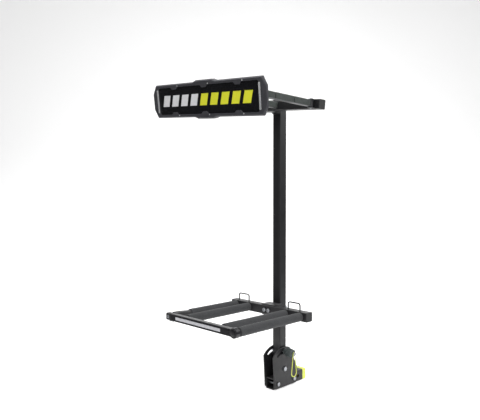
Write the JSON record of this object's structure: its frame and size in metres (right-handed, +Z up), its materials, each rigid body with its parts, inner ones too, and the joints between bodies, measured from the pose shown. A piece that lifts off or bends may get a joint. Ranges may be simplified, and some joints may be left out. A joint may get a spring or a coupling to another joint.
{
  "type": "hitch ski rack",
  "caption": "Hitch-mounted upright ski rack: tilting mast, padded lower tines closed by a swinging locking gate, and an upper frame with padded arms and a long plain board.",
  "frame": {"origin": "underside of the hitch shank, straight below its pin hole, on the middle plane", "axes": "+X to the rack's right side, +Y towards the vehicle, +Z up"},
  "size_m": [0.6877, 0.6449, 1.357],
  "materials": {
    "powder_coated_steel": "satin black powder coat",
    "black_plastic": "fine moulded grain",
    "zinc_steel": "zinc plated",
    "grey_foam": "matt closed-cell foam",
    "bright_aluminium": "bright extruded",
    "arm_rubber": "soft ribbed rubber",
    "gloss_black_coat": "gloss black",
    "gloss_panel": "gloss black, bare",
    "charcoal_plastic": "grained charcoal",
    "knob_plastic": "matt grip plastic",
    "yellow_plastic": "bright yellow, satin",
    "white_reflector": "white reflector"
  },
  "bodies": {
    "foot": {"hitch_shank": "powder_coated_steel", "shank_end_cap": "yellow_plastic", "tilt_plate_left": "powder_coated_steel", "tilt_plate_right": "powder_coated_steel", "foot_bolt_front": "zinc_steel", "foot_bolt_rear": "zinc_steel", "pivot_bolt": "zinc_steel", "tilt_bush_left": "black_plastic", "tilt_bush_right": "black_plastic"},
    "mast": {"clamp_bolt": "zinc_steel", "mast_tube": "powder_coated_steel", "mast_cap": "black_plastic", "lower_saddle": "powder_coated_steel", "lower_saddle_bolt_left": "zinc_steel", "lower_saddle_bolt_right": "zinc_steel", "upper_pivot_bolt": "zinc_steel", "upper_socket": "powder_coated_steel", "lower_cross_tube": "powder_coated_steel", "lower_end_cap_left": "black_plastic", "lower_end_cap_right": "black_plastic", "tine_tube_1": "powder_coated_steel", "tine_tube_2": "powder_coated_steel", "tine_tube_3": "powder_coated_steel", "tine_tube_4": "powder_coated_steel", "foam_sleeve_1": "grey_foam", "foam_sleeve_2": "grey_foam", "foam_sleeve_3": "grey_foam", "foam_sleeve_4": "grey_foam", "tine_plug_2": "black_plastic", "tine_plug_3": "black_plastic", "ski_stop_hoop_left": "powder_coated_steel", "ski_stop_hoop_right": "powder_coated_steel", "gate_catch": "black_plastic", "gate_pivot": "zinc_steel"},
    "tilt_knob": {"tilt_knob": "knob_plastic"},
    "pull_loop": {"pull_loop": "yellow_plastic"},
    "gate": {"gate_bar": "gloss_black_coat", "gate_lock_housing": "black_plastic", "gate_reflector": "white_reflector", "gate_hub_cap": "black_plastic"},
    "gate_lock": {"gate_lock": "zinc_steel"},
    "upper_frame": {"upper_cradle": "powder_coated_steel", "upper_cross_tube": "powder_coated_steel", "upper_end_cap_left": "black_plastic", "upper_end_cap_right": "black_plastic", "inner_arm_left": "bright_aluminium", "inner_arm_right": "bright_aluminium", "inner_pad_left": "arm_rubber", "inner_pad_right": "arm_rubber", "arm_hinge_bracket_left": "powder_coated_steel", "arm_hinge_bracket_right": "powder_coated_steel", "arm_hinge_pin_left": "zinc_steel", "arm_hinge_pin_right": "zinc_steel", "board_bracket": "powder_coated_steel", "board_shell": "charcoal_plastic", "board_panel": "gloss_panel"},
    "right_arm": {"right_arm_rail": "bright_aluminium", "right_arm_pad": "arm_rubber"},
    "left_arm": {"left_arm_rail": "bright_aluminium", "left_arm_pad": "arm_rubber"}
  },
  "joints": [
    {"name": "mast_tilt", "type": "hinge", "parent": "foot", "child": "mast", "pos_m": [0, -0.105, 0.085], "axis": [1, 0, 0], "range_deg": [0, 35]},
    {"name": "knob_turn", "type": "hinge", "parent": "mast", "child": "tilt_knob", "pos_m": [0.0576, -0.105, 0.164], "axis": [1, 0, 0], "continuous": true},
    {"name": "loop_swing", "type": "hinge", "parent": "mast", "child": "pull_loop", "pos_m": [0.08715, -0.105, 0.164], "axis": [1, 0, 0], "range_deg": [-90, 90]},
    {"name": "gate_swing", "type": "hinge", "parent": "mast", "child": "gate", "pos_m": [0.1915, -0.5746, 0.362], "axis": [0, 1, 0], "range_deg": [0, 100]},
    {"name": "lock_turn", "type": "hinge", "parent": "gate", "child": "gate_lock", "pos_m": [-0.205, -0.5746, 0.362], "axis": [0, -1, 0], "range_deg": [0, 90]},
    {"name": "upper_frame_level", "type": "hinge", "parent": "mast", "child": "upper_frame", "pos_m": [0, -0.173, 1.274], "axis": [0, 1, 0], "range_deg": [-15.6, 4.4]},
    {"name": "right_arm_swing", "type": "hinge", "parent": "upper_frame", "child": "right_arm", "pos_m": [0.25677, -0.2065, 1.24882], "axis": [0.0976, 0, 0.9952], "range_deg": [0, 70]},
    {"name": "left_arm_swing", "type": "hinge", "parent": "upper_frame", "child": "left_arm", "pos_m": [-0.25677, -0.2065, 1.29918], "axis": [-0.0976, 0, -0.9952], "range_deg": [0, 70]}
  ]
}
